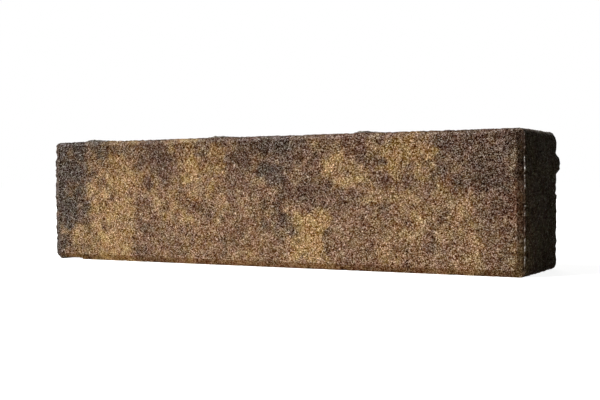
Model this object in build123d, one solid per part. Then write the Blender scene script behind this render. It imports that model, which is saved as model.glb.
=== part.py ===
"""Concrete paver: a long, narrow paving block pressed as one piece, with a bevelled wearing face and spacer nibs.

The block stands on its plain long side, as stored: X runs along its length, Z up across its width, and
Y through its thickness, with the wearing face at -Y and the bed face at +Y. The origin is the centre of
the side that it stands on. Millimetres.
"""

import os

from build123d import *

# Block body, without the nibs: a 320 x 80 laying module less a 4 mm joint
LENGTH = 316.0
WIDTH = 76.0
THICKNESS = 60.0
CORNER_RADIUS = 4.0  # upright corners of the mould, seen looking at the wearing face

# Edge of the wearing face: a flat ledge left beside the press shoe, then a bevel up to the face
END_LEDGE = 1.3
SIDE_LEDGE = 0.3
BEVEL_WIDTH = 2.8
BEVEL_DEPTH = 2.2
BEVEL_FOOT_RADIUS = 3.2
FACE_CORNER_RADIUS = 2.0

# Spacer nibs: tapered ribs that rise behind the wearing face and run on to the bed face
NIB_HEIGHT = 2.0
NIB_FOOT = 11.0  # width where it leaves the block
NIB_LAND = 5.0  # width of its flat top
NIB_SETBACK = 14.0  # from the wearing face to where the nib starts to rise
NIB_LEAD_IN = 6.0  # length of the slope up to its full height
NIB_ROOT = 2.0  # how far the nib's own solid reaches into the block

# Nibs on the upper long side, from the block's left end, and on its right end, from the upper side
SIDE_NIB_COUNT = 3
SIDE_NIB_FIRST = 16.0
SIDE_NIB_PITCH = 100.0
END_NIB_DROP = 17.5

NODE = "paver"

BED_Y = THICKNESS / 2
FACE_Y = -THICKNESS / 2


def outline(y, end_inset, side_inset, radius):
    """The block's rounded outline in the upright plane at y, set in from its ends and its long sides."""
    plane = Plane((0, y, WIDTH / 2), x_dir=(1, 0, 0), z_dir=(0, -1, 0))
    return plane * RectangleRounded(LENGTH - 2 * end_inset, WIDTH - 2 * side_inset, radius)


def block():
    """The body up to the ledge, and the bevelled wearing face on it."""
    ledge_y = FACE_Y + BEVEL_DEPTH
    body = extrude(outline(BED_Y, 0, 0, CORNER_RADIUS), BED_Y - ledge_y)
    bevel_foot = outline(ledge_y, END_LEDGE, SIDE_LEDGE, BEVEL_FOOT_RADIUS)
    wearing_face = outline(FACE_Y, END_LEDGE + BEVEL_WIDTH, SIDE_LEDGE + BEVEL_WIDTH, FACE_CORNER_RADIUS)
    return body + loft([bevel_foot, wearing_face], ruled=True)


def nib():
    """One nib on a side that lies in the plane z = 0 and faces +Z, centred on x = 0."""
    flank = (NIB_FOOT - NIB_LAND) / 2
    foot_with_root = NIB_FOOT / 2 + flank * NIB_ROOT / NIB_HEIGHT
    section = Plane.XZ * make_face(
        Polyline(
            (-foot_with_root, -NIB_ROOT),
            (-NIB_LAND / 2, NIB_HEIGHT),
            (NIB_LAND / 2, NIB_HEIGHT),
            (foot_with_root, -NIB_ROOT),
            close=True,
        )
    )
    rise_y = FACE_Y + NIB_SETBACK
    root_y = rise_y - NIB_LEAD_IN * NIB_ROOT / NIB_HEIGHT
    side_view = Plane.YZ * make_face(
        Polyline(
            (root_y, -NIB_ROOT),
            (rise_y + NIB_LEAD_IN, NIB_HEIGHT),
            (BED_Y, NIB_HEIGHT),
            (BED_Y, -NIB_ROOT),
            close=True,
        )
    )
    rib = extrude(section, THICKNESS, both=True)
    return rib & extrude(side_view, foot_with_root, both=True)


def side_nibs():
    """The row of nibs along the upper long side."""
    first_x = SIDE_NIB_FIRST - LENGTH / 2
    return [Pos(first_x + i * SIDE_NIB_PITCH, 0, WIDTH) * nib() for i in range(SIDE_NIB_COUNT)]


def end_nib():
    """The nib on the right end, near the upper side."""
    return Pos(LENGTH / 2, 0, WIDTH - END_NIB_DROP) * Rot(0, 90, 0) * nib()


def paver():
    """The whole paver as one solid."""
    whole = block()
    for piece in [*side_nibs(), end_nib()]:
        whole += piece
    return whole.clean()


os.makedirs("parts", exist_ok=True)
solid = paver()
solid.label = NODE
export_step(solid, f"parts/{NODE}.step")
print(NODE, "solids", len(solid.solids()), "volume", round(solid.volume), "faces", len(solid.faces()))
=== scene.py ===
"""Concrete paver: the block's dressed mesh, its concrete and a plain studio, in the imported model's frame.

Shapes are worked out in millimetres: X along the block, Y from the wearing face to the bed face, Z up.
"""

import itertools
import math

import bpy
import numpy as np
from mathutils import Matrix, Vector

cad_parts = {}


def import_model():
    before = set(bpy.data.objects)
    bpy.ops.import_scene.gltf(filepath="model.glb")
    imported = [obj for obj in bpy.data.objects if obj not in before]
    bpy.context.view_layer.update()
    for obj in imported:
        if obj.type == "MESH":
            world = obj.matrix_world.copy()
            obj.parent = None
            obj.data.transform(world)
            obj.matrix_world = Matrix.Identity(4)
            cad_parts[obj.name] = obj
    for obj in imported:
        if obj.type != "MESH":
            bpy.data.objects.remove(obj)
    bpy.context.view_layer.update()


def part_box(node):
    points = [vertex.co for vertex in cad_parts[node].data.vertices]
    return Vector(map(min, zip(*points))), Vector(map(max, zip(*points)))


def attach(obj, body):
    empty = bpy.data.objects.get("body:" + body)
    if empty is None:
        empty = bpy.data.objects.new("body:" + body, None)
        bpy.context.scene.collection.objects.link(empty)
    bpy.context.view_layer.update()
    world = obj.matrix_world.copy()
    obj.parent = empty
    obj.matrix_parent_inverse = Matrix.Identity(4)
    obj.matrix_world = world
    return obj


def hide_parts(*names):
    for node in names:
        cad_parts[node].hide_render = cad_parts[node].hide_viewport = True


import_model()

MM = 0.001
NODE = "paver"
SEED = 41  # every noise counts a seed of its own on from this one

# The block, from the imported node: its box less the nibs on its upper side and right end
NIB_HEIGHT = 2.0
box_low, box_high = (np.array(corner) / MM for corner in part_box(NODE))
LENGTH = box_high[0] - box_low[0] - NIB_HEIGHT
WIDTH = box_high[2] - box_low[2] - NIB_HEIGHT
LEFT = box_low[0]
RIGHT = LEFT + LENGTH
FACE_Y = box_low[1]
BED_Y = box_high[1]

# Edge of the wearing face, the face's lift from the block's middle, and the rounded edge of the bed
END_LEDGE = 1.3
SIDE_LEDGE = 0.3
BEVEL_WIDTH = 2.8
BEVEL_DEPTH = 2.2
CORNER_RADIUS = 4.0
BEVEL_FOOT_RADIUS = 3.2
FACE_CORNER_RADIUS = 2.0
FACE_LIFT = 0.45
BED_ARRIS = 0.9
LEDGE_Y = FACE_Y + BEVEL_DEPTH

# Spacer nibs
NIB_FOOT = 11.0
NIB_LAND = 5.0
NIB_SETBACK = 14.0
NIB_LEAD_IN = 6.0
SIDE_NIB_COUNT = 3
SIDE_NIB_FIRST = 16.0
SIDE_NIB_PITCH = 100.0
END_NIB_DROP = 17.5
NIB_RISE_Y = FACE_Y + NIB_SETBACK
SIDE_NIBS_X = [LEFT + SIDE_NIB_FIRST + i * SIDE_NIB_PITCH for i in range(SIDE_NIB_COUNT)]
END_NIB_Z = WIDTH - END_NIB_DROP

# Mesh: a fine front, then loops round the block that drop to half as many points behind the arris
COLUMNS = 456
ROWS = 104
CORNER_STEPS = 6
BEVEL_ROWS = 5
LEDGE_ROWS = 3
FINE_SIDE = 5.0
FINE_ROWS = 7
COARSE_ROWS = 36
BED_ARRIS_ROWS = 3
BEVEL_FOOT_LOOP = BEVEL_ROWS
ARRIS_LOOP = BEVEL_FOOT_LOOP + LEDGE_ROWS


# Noise and grain

def smooth(value):
    """Eases 0 to 1, and holds at both ends."""
    value = np.clip(value, 0, 1)
    return value * value * (3 - 2 * value)


def lattice_noise(points, cell, seed):
    """Smooth random values from -1 to 1 that change over a cell's millimetres.

    The cell is one number, or one for each axis.
    """
    place = (points - points.min(axis=0)) / cell
    home = np.floor(place).astype(int)
    fade = smooth(place - home)
    lattice = np.random.default_rng(seed).uniform(-1, 1, home.max(axis=0) + 2)
    value = np.zeros(len(points))
    for corner in itertools.product((0, 1), repeat=3):
        weight = np.where(corner, fade, 1 - fade).prod(axis=1)
        value += weight * lattice[tuple((home + corner).T)]
    return value


def layered_noise(points, layers, seed):
    """Sum of layers of noise, each given as its height and its cell."""
    return sum(height * lattice_noise(points, cell, seed + i) for i, (height, cell) in enumerate(layers))


def grain_domes(points, cell, seed):
    """Height of rounded grains packed a cell apart: 1 at a grain's top, falling to 0 in the gaps."""
    place = (points - points.min(axis=0)) / cell + 1
    home = np.floor(place).astype(int)
    centres = np.random.default_rng(seed).random((*(home.max(axis=0) + 2), 3))
    nearest = np.full(len(points), np.inf)
    for step in itertools.product((-1, 0, 1), repeat=3):
        cell_index = home + step
        centre = cell_index + centres[tuple(cell_index.T)]
        nearest = np.minimum(nearest, ((place - centre) ** 2).sum(axis=1))
    return np.clip(1 - nearest, 0, 1)


# Block shape

def nib_rise(along, y):
    """How far a nib stands off its side, at a distance along the side from its middle and at a depth y."""
    flank = (NIB_FOOT / 2 - np.abs(along)) / ((NIB_FOOT - NIB_LAND) / 2)
    lead_in = (y - NIB_RISE_Y) / NIB_LEAD_IN
    return NIB_HEIGHT * np.clip(np.minimum(flank, lead_in), 0, 1)


def rounded_grid(coarseness, end_inset, side_inset, radius):
    """x and z of a grid over the block's rounded outline.

    The squares at the corners of the grid are bent into quarter discs.
    """
    steps = CORNER_STEPS // coarseness
    corner = np.linspace(0, radius, steps + 1)[1:]
    half_sizes = (LENGTH / 2 - end_inset, WIDTH / 2 - side_inset)
    lines = []
    for half, count in zip(half_sizes, (COLUMNS // coarseness, ROWS // coarseness)):
        straight = half - radius
        inner = np.linspace(-straight, straight, count - 2 * steps + 1)
        lines.append(np.concatenate([-straight - corner[::-1], inner, straight + corner]))
    grid = np.stack(np.meshgrid(*lines), axis=-1)
    straight = np.array(half_sizes) - radius
    into_corner = np.clip((np.abs(grid) - straight) / radius, 0, 1)
    other = into_corner[..., ::-1]
    bent = np.sign(grid) * (straight + radius * into_corner * np.sqrt(1 - other**2 / 2))
    grid = np.where(into_corner > 0, bent, grid)
    return grid + np.array([LEFT + LENGTH / 2, WIDTH / 2])


def rim(grid):
    """The outer loop of a grid: along the bottom, up the right, back along the top and down the left."""
    return np.concatenate([grid[0, :-1], grid[:-1, -1], grid[-1, :0:-1], grid[:0:-1, 0]])


def ring(coarseness, y, end_inset, side_inset, radius, lift=0.0):
    """One loop of points round the block at depth y, with the nibs raised."""
    grid = rounded_grid(coarseness, end_inset, side_inset, radius)
    columns = COLUMNS // coarseness
    rows = ROWS // coarseness
    x, z = rim(grid).T
    right = slice(columns, columns + rows)
    top = slice(columns + rows, 2 * columns + rows)
    for nib_x in SIDE_NIBS_X:
        z[top] += nib_rise(x[top] - nib_x, y)
    x[right] += nib_rise(z[right] - END_NIB_Z, y)
    return np.stack([x, np.full_like(x, y), z + lift], axis=1)


def fine_stations():
    """Settings of the fine rings, from the bevel over the ledge to the front part of the sides."""
    stations = []
    for t in np.linspace(0, 1, BEVEL_ROWS + 1)[1:]:
        y = FACE_Y + t * BEVEL_DEPTH
        inset = BEVEL_WIDTH * (1 - t)
        radius = FACE_CORNER_RADIUS + t * (BEVEL_FOOT_RADIUS - FACE_CORNER_RADIUS)
        stations.append((y, END_LEDGE + inset, SIDE_LEDGE + inset, radius, FACE_LIFT * (1 - t)))
    for t in np.linspace(0, 1, LEDGE_ROWS + 1)[1:]:
        radius = BEVEL_FOOT_RADIUS + t * (CORNER_RADIUS - BEVEL_FOOT_RADIUS)
        stations.append((LEDGE_Y, END_LEDGE * (1 - t), SIDE_LEDGE * (1 - t), radius))
    for t in np.linspace(0, 1, FINE_ROWS + 1)[1:]:
        stations.append((LEDGE_Y + t * FINE_SIDE, 0.0, 0.0, CORNER_RADIUS))
    return stations


def block_mesh():
    """Points and faces of the closed block, and each point's loop: 0 on the face, then up to the bed."""
    points = []
    faces = []
    loops = []

    def add(new_points):
        start = sum(len(group) for group in points)
        loops.append(np.full(len(new_points), len(points)))
        points.append(new_points)
        return np.arange(start, start + len(new_points))

    def add_quads(front, back):
        faces.append(np.stack([front, back, np.roll(back, -1), np.roll(front, -1)], axis=1))

    def add_grid(grid, y, lift=0.0):
        flat = np.stack([grid[..., 0], np.full(grid.shape[:2], y), grid[..., 1] + lift], axis=-1)
        return add(flat.reshape(-1, 3)).reshape(grid.shape[:2])

    face_grid = rounded_grid(1, END_LEDGE + BEVEL_WIDTH, SIDE_LEDGE + BEVEL_WIDTH, FACE_CORNER_RADIUS)
    front = add_grid(face_grid, FACE_Y, FACE_LIFT)
    corners = [front[:-1, :-1], front[:-1, 1:], front[1:, 1:], front[1:, :-1]]
    faces.append(np.stack(corners, axis=-1).reshape(-1, 4))

    loop = rim(front)
    for station in fine_stations():
        behind = add(ring(1, *station))
        add_quads(loop, behind)
        loop = behind

    # Half as many points from here on: two front steps meet one step behind
    coarse_y = np.linspace(LEDGE_Y + FINE_SIDE, BED_Y - BED_ARRIS, COARSE_ROWS + 2)[1:]
    behind = add(ring(2, coarse_y[0], 0.0, 0.0, CORNER_RADIUS))
    even, odd = loop[::2], loop[1::2]
    behind_next, even_next = np.roll(behind, -1), np.roll(even, -1)
    for triangle in ((even, behind, odd), (odd, behind, behind_next), (odd, behind_next, even_next)):
        faces.append(np.stack(triangle, axis=1))
    loop = behind

    coarse_stations = [(y, 0.0) for y in coarse_y[1:]]
    for angle in np.linspace(0, math.pi / 2, BED_ARRIS_ROWS + 1)[1:-1]:
        inset = BED_ARRIS * (1 - math.cos(angle))
        coarse_stations.append((BED_Y - BED_ARRIS * (1 - math.sin(angle)), inset))
    for y, inset in coarse_stations:
        behind = add(ring(2, y, inset, inset, CORNER_RADIUS))
        add_quads(loop, behind)
        loop = behind

    # Bed face, whose rim carries the ends of the nibs
    bed = add_grid(rounded_grid(2, BED_ARRIS, BED_ARRIS, CORNER_RADIUS), BED_Y)
    points[-1][rim(bed) - bed[0, 0]] = ring(2, BED_Y, BED_ARRIS, BED_ARRIS, CORNER_RADIUS)
    add_quads(loop, rim(bed))
    corners = [bed[:-1, :-1], bed[1:, :-1], bed[1:, 1:], bed[:-1, 1:]]
    faces.append(np.stack(corners, axis=-1).reshape(-1, 4))
    return np.concatenate(points), faces, np.concatenate(loops)


# Melange of the wearing face: soft clouds of pigment, (left, right, bottom, top, strength), with x from
# the block's middle and z from the floor. A cloud that reaches past an edge of the block runs off it.

OCHRE_CLOUDS = [
    (-138, -90, -15, 22, 0.9),
    (-129, -104, 22, 78, 0.75),
    (-116, -99, 46, 72, 1.1),
    (-104, -83, 24, 70, 0.7),
    (-66, -54, 26, 46, 0.8),
    (-56, -45, 0, 28, 0.4),
    (-60, -43, 64, 95, 1.0),
    (-114, -82, 63, 95, 0.4),
    (-55, -21, 51, 70, 1.0),
    (-50, -31, 34, 48, 0.6),
    (-14, 1, -15, 12, 0.4),
    (20, 48, 12, 34, 1.8),
    (36, 53, -15, 8, 0.6),
    (44, 68, 49, 66, 0.6),
    (24, 42, 65, 95, 0.3),
    (66, 92, 36, 48, 0.4),
    (76, 107, 58, 74, 1.1),
    (92, 102, 29, 50, 0.6),
    (80, 106, 8, 28, 0.4),
    (104, 132, 20, 46, 0.4),
    (120, 132, 0, 20, 0.3),
    (-36, -25, 24, 40, 0.5),
    (-5, 6, 24, 40, 0.4),
    (104, 114, 50, 60, 0.5),
    (154, 180, 7, 17, 0.9),
]
UMBER_CLOUDS = [
    (-180, 180, 69, 95, 0.3),
    (-180, -146, -15, 22, 0.8),
    (-136, -118, 2, 17, 0.6),
    (-92, -60, 2, 24, 0.3),
    (-88, -64, 50, 95, 0.45),
    (-44, -16, 67, 95, 0.6),
    (-22, 8, 57, 95, 0.6),
    (64, 80, 62, 95, 0.6),
    (107, 180, 49, 95, 0.5),
    (119, 146, 55, 95, 0.6),
    (144, 180, 50, 76, 1.0),
    (131, 145, 7, 30, 0.3),
    (146, 180, -15, 26, 0.4),
]
CHARCOAL_CLOUDS = [
    (-180, -131, 16, 95, 1.0),
    (-180, -114, 66, 95, 0.85),
    (-180, -124, 21, 44, 0.7),
    (-180, -145, -15, 26, 1.1),
    (-4, 20, 48, 76, 0.7),
    (2, 34, 65, 95, 0.65),
    (8, 22, 16, 33, 0.7),
]
RUST_CLOUDS = [
    (158, 180, 16, 48, 0.65),
    (46, 62, -15, 5, 0.5),
    (-104, -92, 4, 20, 0.15),
    (-106, -84, 26, 62, 0.14),
    (-84, -64, -15, 26, 0.08),
    (66, 104, -15, 30, 0.07),
    (60, 72, 62, 76, 0.3),
]

# Widths of the clouds' soft edges; on the right only charcoal ends softly
CLOUD_FADE_LEFT = 12.0
CLOUD_FADE_RIGHT = 4.5
CLOUD_FADE_UPRIGHT = 9.0
CHARCOAL_FADE = 16.0

# Layers of noise that fray the clouds' edges, and that mottle the mix: height and cell of each
WANDER = [(5.5, 17.0), (3.2, 6.0), (3.0, 2.2)]
MOTTLE = [(0.65, 7.0), (0.5, 3.0)]

# Shares of the pigments in their clouds and between them, and how much the mottle changes them
OCHRE_IN_CLOUDS = 0.85
OCHRE_MOTTLE = 0.6
OCHRE_BETWEEN = 0.4
DARK_IN_CLOUDS = 0.9
DARK_MOTTLE = 0.5
UMBER_BETWEEN = 0.5
UMBER_LESS_IN_OCHRE = 0.5
# Towards the foot the mix turns tan and paler: where this starts, over what height, and how much the mottle
# changes it
TAN_AT_FOOT = 1.22
TAN_HEIGHT = 60.0
TAN_MOTTLE = 0.6


def cloud_cover(points, clouds, fade_right=CLOUD_FADE_RIGHT):
    """How much of a pigment lies at each point; a cloud's edge is the middle of its fade."""
    x, _, z = points.T
    cover = np.zeros(len(points))
    for left, right, bottom, top, strength in clouds:
        across = smooth((x - left) / CLOUD_FADE_LEFT + 0.5) * smooth((right - x) / fade_right + 0.5)
        above_bottom = smooth((z - bottom) / CLOUD_FADE_UPRIGHT + 0.5)
        below_top = smooth((top - z) / CLOUD_FADE_UPRIGHT + 0.5)
        cover = np.maximum(cover, strength * across * (above_bottom * below_top))
    return cover


def melange(points):
    """Each pigment's share of the mix at each point, in ragged, mottled clouds."""
    shifted = points.copy()
    shifted[:, 0] += layered_noise(points, WANDER, SEED + 21)
    shifted[:, 2] += layered_noise(points, WANDER, SEED + 31)
    mottle = layered_noise(points, MOTTLE, SEED + 5)
    ochre = cloud_cover(shifted, OCHRE_CLOUDS)
    umber = cloud_cover(shifted, UMBER_CLOUDS)
    charcoal = cloud_cover(shifted, CHARCOAL_CLOUDS, CHARCOAL_FADE)
    dark = DARK_IN_CLOUDS - DARK_MOTTLE * mottle
    umber_between = UMBER_BETWEEN * smooth(-mottle) * (1 - UMBER_LESS_IN_OCHRE * ochre)
    shares = {
        "ochre": ochre * (OCHRE_IN_CLOUDS + OCHRE_MOTTLE * mottle) + OCHRE_BETWEEN * smooth(mottle),
        "umber": umber * dark + umber_between,
        "charcoal": charcoal * dark,
        "rust": cloud_cover(shifted, RUST_CLOUDS),
        "tan": smooth(TAN_AT_FOOT - points[:, 2] / TAN_HEIGHT + TAN_MOTTLE * mottle),
    }
    return {name: np.clip(share, 0, 1) for name, share in shares.items()}


# Relief: grains, unevenness, pits, chipped arrises and the burr on the ends

FACE_GRAIN = 1.3
FACE_GRAIN_HEIGHT = 0.07
RIM_GRAIN = 1.5
RIM_GRAIN_HEIGHT = 0.26
SIDE_GRAIN = 1.9
SIDE_GRAIN_HEIGHT = 0.28
RIM_BLEND_LOOPS = 3.0
SIDE_BLEND_LOOPS = 4.0

# Layers of noise: height and cell of each
FACE_WAVES = [(0.03, 3.5), (0.05, 16.0)]
SIDE_WAVES = [(0.08, 9.0)]
SIDE_ROUGHNESS = [(0.14, 1.5)]
SIDE_STREAKS = [(0.07, (1.8, 26.0, 1.8))]
GRIT = [(0.3, 1.0)]
FACING_WAVES = [(0.3, 5.0)]
BURR_BREAKS = [(1.1, 1.3), (0.6, 6.0)]

# Random pits and chips: count, then the least and the greatest radius and depth
FACE_PITS = (130, (0.9, 1.9), (0.15, 0.45))
SIDE_PITS = (420, (1.4, 3.2), (0.2, 0.8))
ARRIS_CHIPS = (150, (1.0, 2.4), (0.15, 0.5))
FACE_EDGE_CHIPS = (60, (0.8, 1.8), (0.1, 0.3))
BED_CHIPS = (260, (0.9, 1.7), (0.15, 0.55))
PITS_OFF_BED = 6.0
FACE_EDGE_FROM = 34.5  # from the middle of the block's width
WHOLE_CORNER = 6.0  # chips start about this far from the lower left corner
DEEP_HOLLOW = 0.5

# Worn stretch of the lower arris, notches in the upper one, and the bulge of the left end
WORN_ARRIS = (-152.0, -136.0)
WORN_ARRIS_DEPTH = 1.25
WORN_ARRIS_RUN_OUT = 1.2
WORN_ARRIS_REACH = 14.0
WORN_ARRIS_RISE = 3.0
WORN_ARRIS_CORE = 1.3
TOP_NOTCHES_X = (100.8, 107.6, 119.9, 133.5)
TOP_NOTCH_RADIUS = 1.6
TOP_NOTCH_DEPTH = 0.5
LEFT_BULGE = 0.4
LEFT_BULGE_REACH = 6.0

# Fin of paste on the end ledges
BURR_HEIGHT = 0.75
BURR_REACH = 0.9
BURR_FADE = 0.6
BURR_EDGE = 0.6
BURR_TO_CORNERS = 0.4
LEFT_BURR = 0.3

# Foot pressed flat on the floor, and the least steps between the rim's loops there
FOOT_PRESS = 0.18
FOOT_REACH = 2.0
RIM_STEP = 0.05
RIM_GUIDE_LOOP = BEVEL_FOOT_LOOP - 2  # the rim's loops all move along this one's normals

# Coloured facing: where the ends begin, its reach along the sides, and its share on the ends
END_REACH = 1.5
SIDE_FACING_START = 1.1
SIDE_FACING_FADE = 20.0
END_FACING = 0.15


def hollows(points, centres, radii, depths):
    """Depth at each point of round hollows sunk at the centres."""
    depth = np.zeros(len(points))
    for centre, radius, sunk in zip(centres, radii, depths):
        near = np.flatnonzero(np.abs(points[:, 0] - centre[0]) < radius)
        away = ((points[near] - centre) ** 2).sum(axis=1) / radius**2
        depth[near] = np.maximum(depth[near], sunk * np.clip(1 - away, 0, 1))
    return depth


def random_hollows(points, chosen, count, radius_range, depth_range, rng):
    """Hollows at random points among the chosen ones."""
    centres = points[rng.choice(np.flatnonzero(chosen), count, replace=False)]
    size = rng.random(count) ** 2
    radii = radius_range[0] + size * (radius_range[1] - radius_range[0])
    depths = depth_range[0] + size * (depth_range[1] - depth_range[0])
    return hollows(points, centres, radii, depths)


def surface_relief(base, loops):
    """Height of the grains and the unevenness: fine on the face, rougher on the rim and the sides."""
    face = FACE_GRAIN_HEIGHT * grain_domes(base, FACE_GRAIN, SEED + 11)
    face += layered_noise(base, FACE_WAVES, SEED + 12)
    side = SIDE_GRAIN_HEIGHT * grain_domes(base, SIDE_GRAIN, SEED + 14)
    side += layered_noise(base, SIDE_WAVES, SEED + 15) + layered_noise(base, SIDE_ROUGHNESS, SEED + 20)
    side += layered_noise(base, SIDE_STREAKS, SEED + 16)
    rim_grains = RIM_GRAIN_HEIGHT * (grain_domes(base, RIM_GRAIN, SEED + 19) - 0.5)
    side_share = smooth((loops - ARRIS_LOOP) / SIDE_BLEND_LOOPS)
    rim_share = smooth(loops / RIM_BLEND_LOOPS) * (1 - side_share)
    relief = face * (1 - rim_share - side_share) + rim_grains * rim_share + side * side_share
    return relief + layered_noise(base, GRIT, SEED + 24) * (rim_share + side_share)


def pits_and_chips(base, loops):
    """Depths of the random pits in the face and the sides, and of the chips along the edges."""
    rng = np.random.default_rng(SEED)
    x, y, z = base.T
    on_face = loops == 0
    pits = random_hollows(base, on_face, *FACE_PITS, rng)
    clear_of_bed = (loops > ARRIS_LOOP) & (y < BED_Y - PITS_OFF_BED)
    pits += random_hollows(base, clear_of_bed, *SIDE_PITS, rng)

    edge = (loops == ARRIS_LOOP) | (loops == BEVEL_FOOT_LOOP)
    chips = random_hollows(base, edge, *ARRIS_CHIPS, rng)
    face_edge = on_face & (np.abs(z - WIDTH / 2) > FACE_EDGE_FROM)
    chips += random_hollows(base, face_edge, *FACE_EDGE_CHIPS, rng)
    bed_arris = (loops == loops.max() - 1) | (loops == loops.max() - 2)
    chips += random_hollows(base, bed_arris, *BED_CHIPS, rng)
    chips *= smooth(np.hypot(x - LEFT, z) / WHOLE_CORNER - 0.5)
    return pits, chips


def worn_arris(base):
    """How far the worn stretch of the lower arris is raised."""
    x, y, z = base.T
    middle = sum(WORN_ARRIS) / 2
    half = (WORN_ARRIS[1] - WORN_ARRIS[0]) / 2
    along = smooth((half - np.abs(x - middle)) / WORN_ARRIS_RUN_OUT + 0.5)
    away = np.hypot((y - LEDGE_Y) / WORN_ARRIS_REACH, z / WORN_ARRIS_RISE)
    return WORN_ARRIS_DEPTH * along * smooth(WORN_ARRIS_CORE - away)


def top_notches(base):
    """Depth of the notches in the upper arris."""
    count = len(TOP_NOTCHES_X)
    centres = np.array([(notch_x, LEDGE_Y, WIDTH) for notch_x in TOP_NOTCHES_X])
    return hollows(base, centres, [TOP_NOTCH_RADIUS] * count, [TOP_NOTCH_DEPTH] * count)


def end_burr(base, loops):
    """Where a broken fin of squeezed-out paste stands along the end ledges, 0 to 1."""
    x, _, z = base.T
    at_right = smooth((x - RIGHT + BURR_REACH) / BURR_FADE)
    at_left = LEFT_BURR * smooth((LEFT + BURR_REACH - x) / BURR_FADE)
    on_ledge = (loops == ARRIS_LOOP - 1) | (loops == ARRIS_LOOP)
    broken = BURR_TO_CORNERS * np.abs(2 * z / WIDTH - 1)
    broken += layered_noise(base, BURR_BREAKS, SEED + 17)
    return np.maximum(at_right, at_left) * on_ledge * smooth(broken / BURR_EDGE)


def paver_stone():
    """The whole block as one closed mesh, with its relief and the shares of its colours."""
    base, faces, loops = block_mesh()
    mesh = bpy.data.meshes.new("paver_stone")
    mesh.from_pydata((base * MM).tolist(), [], [face for group in faces for face in group.tolist()])
    outward = np.empty(len(base) * 3, dtype=np.float32)
    mesh.vertices.foreach_get("normal", outward)
    outward = outward.reshape(-1, 3).astype(float)
    x, y, z = base.T

    # The rim's loops all move the same way, so that they keep their order
    for number in range(1, ARRIS_LOOP + 1):
        outward[loops == number] = outward[loops == RIM_GUIDE_LOOP]

    # The ledge is too narrow for a relief of its own: it runs straight from the bevel's foot to the arris
    pits, chips = pits_and_chips(base, loops)
    height = surface_relief(base, loops) - pits - chips - top_notches(base)
    foot_height = height[loops == BEVEL_FOOT_LOOP]
    arris_height = height[loops == ARRIS_LOOP]
    for number in range(BEVEL_FOOT_LOOP + 1, ARRIS_LOOP):
        t = (number - BEVEL_FOOT_LOOP) / LEDGE_ROWS
        height[loops == number] = (1 - t) * foot_height + t * arris_height
    shaped = base + outward * height[:, None]
    shaped[:, 2] += worn_arris(base)
    near_left = smooth((LEFT + LEFT_BULGE_REACH - x) / LEFT_BULGE_REACH)
    shaped[:, 0] -= LEFT_BULGE * near_left * np.cos((z / WIDTH - 0.5) * math.pi)
    burr = end_burr(base, loops)
    shaped[:, 1] -= BURR_HEIGHT * burr

    # The side that it stands on is pressed flat against the floor
    shaped[:, 2] -= FOOT_PRESS * smooth(1 - z / FOOT_REACH)
    shaped[:, 2] = np.maximum(shaped[:, 2], RIM_STEP * np.clip(ARRIS_LOOP - loops, 0, None))
    mesh.vertices.foreach_set("co", (shaped * MM).astype(np.float32).ravel())
    mesh.update()
    mesh.shade_smooth()

    on_ends = smooth(np.abs(x - (LEFT + RIGHT) / 2) - LENGTH / 2 + END_REACH)
    facing_waves = layered_noise(base, FACING_WAVES, SEED + 25)
    facing = smooth(SIDE_FACING_START + facing_waves - (y - LEDGE_Y) / SIDE_FACING_FADE)
    facing *= 1 - (1 - END_FACING) * on_ends
    on_bevel = (loops > 0) & (loops <= BEVEL_FOOT_LOOP)
    # The right end's ledge gets painted shade, less where the fin stands
    right_ledge_painted_shade = (loops >= BEVEL_FOOT_LOOP) & (loops <= ARRIS_LOOP) & (on_ends > 0) & (x > 0)
    shares = {
        **melange(base),
        "facing": np.where(loops > ARRIS_LOOP, facing, 1.0),
        "bevel": np.where(on_bevel, 1.0, 0.0),
        "burr": burr,
        "ledge": np.where(right_ledge_painted_shade, 1 - burr, 0.0),
        # Pits and chips get painted shade in the colour, the deeper ones more
        "hollow": np.clip((pits + chips) / DEEP_HOLLOW, 0, 1),
    }
    for name, values in shares.items():
        attribute = mesh.attributes.new(name, "FLOAT", "POINT")
        attribute.data.foreach_set("value", values.astype(np.float32))
    stone = bpy.data.objects.new("paver_stone", mesh)
    bpy.context.scene.collection.objects.link(stone)
    return stone


# Materials

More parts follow.
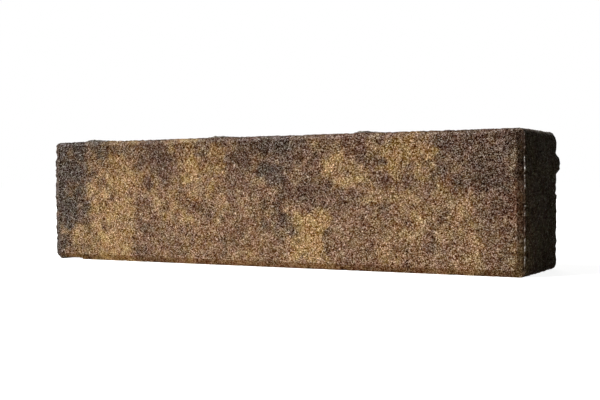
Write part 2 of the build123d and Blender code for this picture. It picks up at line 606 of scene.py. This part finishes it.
class Nodes:
    """A material's or world's node tree, with short calls to add and join nodes."""

    def __init__(self, owner):
        owner.use_nodes = True
        self.tree = owner.node_tree
        self.tree.nodes.clear()

    def add(self, kind, settings=None, **inputs):
        """Adds a node; an input is a value or another node's output."""
        node = self.tree.nodes.new(kind)
        for name, value in (settings or {}).items():
            setattr(node, name, value)
        for name, value in inputs.items():
            self.feed(node, name.replace("_", " "), value)
        return node

    def feed(self, node, name, value):
        """Sets or links one input, by its name or number."""
        socket = node.inputs[int(name)] if name.isdigit() else node.inputs[name]
        if isinstance(value, bpy.types.NodeSocket):
            self.tree.links.new(value, socket)
        else:
            socket.default_value = value

    def feed_all(self, node, values):
        """Sets or links the first inputs, in order."""
        for number, value in enumerate(values):
            self.feed(node, str(number), value)
        return node

    def math(self, operation, *values, clamp=False):
        """The result of a Math node."""
        node = self.add("ShaderNodeMath", {"operation": operation, "use_clamp": clamp})
        return self.feed_all(node, values).outputs[0]

    def vector_math(self, operation, *values):
        """A Vector Math node."""
        return self.feed_all(self.add("ShaderNodeVectorMath", {"operation": operation}), values)

    def mix(self, share, first, second, blend="MIX"):
        """A colour part way from the first to the second, or to the blend of both.

        The node's inputs 6 and 7 and its output 2 are the ones for colours.
        """
        node = self.add("ShaderNodeMix", {"data_type": "RGBA", "blend_type": blend})
        self.feed(node, "0", share)
        self.feed(node, "6", first)
        self.feed(node, "7", second)
        return node.outputs[2]

    def ramp(self, value, start, end):
        """Eases from 0 to 1 as the value goes from start to end."""
        eased = {"interpolation_type": "SMOOTHSTEP"}
        return self.add("ShaderNodeMapRange", eased, Value=value, From_Min=start, From_Max=end).outputs[0]

    def share(self, name):
        """One of the mesh's own values."""
        return self.add("ShaderNodeAttribute", {"attribute_name": name}).outputs["Fac"]


# Colours of the mix, and of the fin of paste and the painted shade on the ledge beside it
BROWN = (0.141, 0.0735, 0.043, 1)
TAN = (0.237, 0.136, 0.0745, 1)
OCHRE = (0.290, 0.168, 0.061, 1)
PALE_OCHRE = (0.400, 0.252, 0.106, 1)
UMBER = (0.079, 0.044, 0.027, 1)
CHARCOAL = (0.060, 0.0405, 0.030, 1)
RUST = (0.150, 0.056, 0.030, 1)
SIDE_GREY = (0.134, 0.107, 0.078, 1)
SIDE_BROWN = (0.215, 0.169, 0.122, 1)
PASTE = (0.36, 0.35, 0.34, 1)
LEDGE_SHADE = (0.011, 0.008, 0.006, 1)
LEDGE_SHADED = 0.7

# Patches of tint
YELLOW_TINT = (0.97, 1.04, 0.94, 1)
MAUVE_TINT = (1.03, 0.96, 1.06, 1)
TINT_SCALE = 1 / (6.0 * MM)
TINT_FROM = 0.35
TINT_TO = 0.65

# Grains, and how much lighter or darker they look than the mix
GRAIN_SCALE = 1 / (0.40 * MM)
COARSE_GRAIN_SCALE = 1 / (0.9 * MM)
FINE_GRAIN_SCALE = 1 / (0.3 * MM)
SIDE_LUMP_SCALE = 1 / (1.3 * MM)
NOISE_DETAIL = 2.0
GRAIN_CONTRAST = 0.48
SWING_PARTS = (0.92, 1.0, 1.05)
# Painted shade in the gaps between the grains: where it starts and ends, and how dark it is
GAP_START = 0.40
GAP_END = 0.75
GAP_SHADE = 0.32
EVEN_OUT = 0.075
COARSE_CONTRAST = 0.22
ODD_GRAIN_POWER = 5.0  # a high odd power, so that only a few grains stand out
SIDE_CONTRAST = 0.46
SPECKLE = 0.12
# Painted shade in the pits and chips
HOLLOW_SHADE = 0.08
BEVEL_PALER = 0.045
DARKEST = (0.05, 0.02, 0.005)
DISPLAY_GAMMA = 2.2

# Surface
GRAIN_RELIEF = 0.05 * MM
FINE_RELIEF_SHARE = 0.5
ROUGHNESS = 0.8
ROUGHNESS_SPREAD = 0.15
SPECULAR = 0.02


def blended_pigment(n, place, coarse_pick):
    """Colour of the mix under its grains: pigments in clouds, greyer away from the wearing face."""

    # Each pigment's share differs a little from one coarse grain to the next
    def speckled(name, pick):
        uneven = n.math("MULTIPLY_ADD", pick, SPECKLE, 1 - SPECKLE / 2)
        return n.math("MULTIPLY", n.share(name), uneven, clamp=True)

    tan = n.share("tan")
    pigment = n.mix(tan, BROWN, TAN)
    pigment = n.mix(speckled("ochre", coarse_pick.outputs[1]), pigment, n.mix(tan, OCHRE, PALE_OCHRE))
    pigment = n.mix(speckled("umber", coarse_pick.outputs[2]), pigment, UMBER)
    pigment = n.mix(speckled("charcoal", coarse_pick.outputs[2]), pigment, CHARCOAL)
    pigment = n.mix(speckled("rust", coarse_pick.outputs[1]), pigment, RUST)
    pigment = n.mix(n.share("facing"), n.mix(tan, SIDE_GREY, SIDE_BROWN), pigment)
    patches = n.add("ShaderNodeTexNoise", Vector=place, Scale=TINT_SCALE, Detail=NOISE_DETAIL)
    tint = n.mix(n.ramp(patches.outputs[0], TINT_FROM, TINT_TO), MAUVE_TINT, YELLOW_TINT)
    tinted = n.mix(1.0, pigment, tint, blend="MULTIPLY")
    return n.mix(n.share("burr"), tinted, PASTE)


def grain_swing(n, place, grain, grain_pick, coarse_pick):
    """How much lighter or darker than the mix each grain looks, with painted shade in the gaps between the
    grains and in the pits and chips.
    """
    lightness = n.math("ADD", grain_pick.outputs[0], grain_pick.outputs[1])
    swing = n.math("MULTIPLY_ADD", lightness, GRAIN_CONTRAST, EVEN_OUT - GRAIN_CONTRAST)
    both_ways = n.math("MULTIPLY_ADD", coarse_pick.outputs[0], 2.0, -1.0)
    swing = n.math("MULTIPLY_ADD", n.math("POWER", both_ways, ODD_GRAIN_POWER), COARSE_CONTRAST, swing)
    lumps = n.add("ShaderNodeTexVoronoi", Vector=place, Scale=SIDE_LUMP_SCALE)
    lump_pick = n.add("ShaderNodeSeparateColor", Color=lumps.outputs["Color"])
    side_lumps = n.math("MULTIPLY_ADD", lump_pick.outputs[0], SIDE_CONTRAST, -SIDE_CONTRAST / 2)
    swing = n.math("MULTIPLY_ADD", side_lumps, n.math("SUBTRACT", 1.0, n.share("facing")), swing)
    # Painted shade in the gaps between the grains, where the relief is lowest
    gap_shade = n.ramp(grain.outputs["Distance"], GAP_START, GAP_END)
    swing = n.math("MULTIPLY_ADD", gap_shade, -GAP_SHADE, swing)
    # Painted shade in the pits and chips
    swing = n.math("MULTIPLY_ADD", n.share("hollow"), -HOLLOW_SHADE, swing)
    return n.math("MULTIPLY_ADD", n.share("bevel"), BEVEL_PALER, swing)


def concrete():
    """Pressed concrete: blended pigments under sharp sand grains."""
    material = bpy.data.materials.new("concrete")
    n = Nodes(material)
    place = n.add("ShaderNodeTexCoord").outputs["Object"]
    grain = n.add("ShaderNodeTexVoronoi", Vector=place, Scale=GRAIN_SCALE)
    coarse = n.add("ShaderNodeTexVoronoi", Vector=place, Scale=COARSE_GRAIN_SCALE)
    fine = n.add("ShaderNodeTexNoise", Vector=place, Scale=FINE_GRAIN_SCALE, Detail=NOISE_DETAIL)
    grain_pick = n.add("ShaderNodeSeparateColor", Color=grain.outputs["Color"])
    coarse_pick = n.add("ShaderNodeSeparateColor", Color=coarse.outputs["Color"])
    pigment = blended_pigment(n, place, coarse_pick)
    swing = grain_swing(n, place, grain, grain_pick, coarse_pick)

    # The swing is added to the colour as seen, and nearly evenly, so that pale grains look less coloured
    red, green, blue = (n.math("MULTIPLY", swing, part) for part in SWING_PARTS)
    spread = n.add("ShaderNodeCombineXYZ", X=red, Y=green, Z=blue).outputs[0]
    seen = n.add("ShaderNodeGamma", Color=pigment, Gamma=1 / DISPLAY_GAMMA).outputs[0]
    seen = n.vector_math("ADD", seen, spread).outputs[0]
    seen = n.vector_math("MAXIMUM", seen, DARKEST).outputs[0]
    colour = n.add("ShaderNodeGamma", Color=seen, Gamma=DISPLAY_GAMMA).outputs[0]
    # Painted shade darkens the right end's ledge
    colour = n.mix(n.math("MULTIPLY", n.share("ledge"), LEDGE_SHADED), colour, LEDGE_SHADE)

    domes = n.math("SUBTRACT", 1.0, grain.outputs["Distance"])
    height = n.math("MULTIPLY_ADD", fine.outputs[0], FINE_RELIEF_SHARE, domes)
    bump = n.add("ShaderNodeBump", Strength=1.0, Distance=GRAIN_RELIEF, Height=height)
    roughness = n.math("MULTIPLY_ADD", grain_pick.outputs[2], ROUGHNESS_SPREAD, ROUGHNESS)
    shader = n.add("ShaderNodeBsdfPrincipled", Roughness=roughness, Normal=bump.outputs[0])
    n.feed(shader, "Base Color", colour)
    shader.inputs["Specular IOR Level"].default_value = SPECULAR
    n.add("ShaderNodeOutputMaterial", Surface=shader.outputs[0])
    return material


# Studio, in metres

WHITE = (1, 1, 1, 1)
FLOOR_SIZE = 30.0
FLOOR_GREY = (0.6, 0.6, 0.6, 1)
FLOOR_GLOW = 0.86
FLOOR_GLOW_RISE = 0.3  # for each metre away from the block, up to 1
FLOOR_BOUNCE = (0.54, 0.41, 0.25, 1)
DIM_BOUNCE = (0.026, 0.031, 0.021, 1)
DIM_TOWARDS = (1.0, 0.5, 0.0)
DIM_FROM = 0.09
DIM_TO = 0.205
SKY = (0.011, 0.013, 0.012, 1)

# Lamps: direction from the block, distance, size, watts and colour
LAMPS = {
    "key": ((-0.48, -0.50, 0.72), 3.0, 1.05, 117.0, (0.98, 0.99, 1.0)),
    "front_fill": ((-0.45, -0.88, 0.12), 2.0, 0.8, 5.0, (1.0, 0.86, 0.66)),
    "back_fill": ((-0.35, 0.90, 0.25), 2.0, 1.0, 16.0, (1.0, 0.98, 0.95)),
}

# Camera: its place in millimetres, and its angles in degrees
EYE = (307.6, -524.2, 49.7)
EYE_DOWN = 1.066
EYE_ROLL = 0.364
EYE_TURN = 29.483
SENSOR_WIDTH = 36.0
LENS = 60.0
NEAR_CLIP = 0.01


def seen_ray(n):
    """1 for rays that show the background: straight from the camera, mirrored or through glass."""
    rays = n.add("ShaderNodeLightPath")
    seen = n.math("MAXIMUM", rays.outputs["Is Camera Ray"], rays.outputs["Is Glossy Ray"])
    return n.math("MAXIMUM", seen, rays.outputs["Is Transmission Ray"])


def floor():
    """A wide white floor that shows the block's shadow and sends warm light back up, less on the right."""
    mesh = bpy.data.meshes.new("floor")
    half = FLOOR_SIZE / 2
    corners = [(-half, -half, 0), (half, -half, 0), (half, half, 0), (-half, half, 0)]
    mesh.from_pydata(corners, [], [(0, 1, 2, 3)])
    material = bpy.data.materials.new("floor_white")
    n = Nodes(material)
    place = n.add("ShaderNodeTexCoord").outputs["Object"]
    away = n.vector_math("LENGTH", place).outputs["Value"]
    glow = n.math("MINIMUM", n.math("MULTIPLY_ADD", away, FLOOR_GLOW_RISE, FLOOR_GLOW), 1.0)
    white = n.add("ShaderNodeEmission", Strength=glow)
    shade = n.add("ShaderNodeBsdfDiffuse", Color=FLOOR_GREY)
    shown = n.feed_all(n.add("ShaderNodeAddShader"), (white.outputs[0], shade.outputs[0]))
    along = n.vector_math("DOT_PRODUCT", place, DIM_TOWARDS).outputs["Value"]
    dim = n.ramp(along, DIM_FROM, DIM_TO)
    bounce = n.add("ShaderNodeBsdfDiffuse", Color=n.mix(dim, FLOOR_BOUNCE, DIM_BOUNCE))
    both = n.feed_all(n.add("ShaderNodeMixShader"), (seen_ray(n), bounce.outputs[0], shown.outputs[0]))
    n.add("ShaderNodeOutputMaterial", Surface=both.outputs[0])
    mesh.materials.append(material)
    plane = bpy.data.objects.new("floor", mesh)
    bpy.context.scene.collection.objects.link(plane)


def world():
    """White where it shows, and a faint sky as light."""
    sky = bpy.data.worlds.new("studio")
    n = Nodes(sky)
    background = n.add("ShaderNodeBackground", Color=n.mix(seen_ray(n), SKY, WHITE))
    n.add("ShaderNodeOutputWorld", Surface=background.outputs[0])
    bpy.context.scene.world = sky


def softbox(name, towards, distance, size, watts, colour):
    """A square lamp in a direction from the block, turned to its middle."""
    lamp = bpy.data.lights.new(name, "AREA")
    lamp.size = size
    lamp.energy = watts
    lamp.color = colour
    middle = Vector((0, 0, WIDTH / 2 * MM))
    holder = bpy.data.objects.new(name, lamp)
    holder.location = middle + Vector(towards).normalized() * distance
    holder.rotation_euler = (middle - holder.location).to_track_quat("-Z", "Y").to_euler()
    bpy.context.scene.collection.objects.link(holder)


def camera():
    """The photograph's viewpoint."""
    eye = bpy.data.objects.new("camera", bpy.data.cameras.new("camera"))
    eye.data.sensor_width = SENSOR_WIDTH
    eye.data.lens = LENS
    eye.data.clip_start = NEAR_CLIP
    eye.location = Vector(EYE) * MM
    eye.rotation_euler = [math.radians(angle) for angle in (90 - EYE_DOWN, EYE_ROLL, EYE_TURN)]
    bpy.context.scene.collection.objects.link(eye)
    bpy.context.scene.camera = eye


bpy.context.scene.view_settings.view_transform = "Standard"
camera()
floor()
world()
for lamp_name, lamp_settings in LAMPS.items():
    softbox(lamp_name, *lamp_settings)

stone = paver_stone()
stone.data.materials.append(concrete())
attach(stone, "root")
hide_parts(NODE)
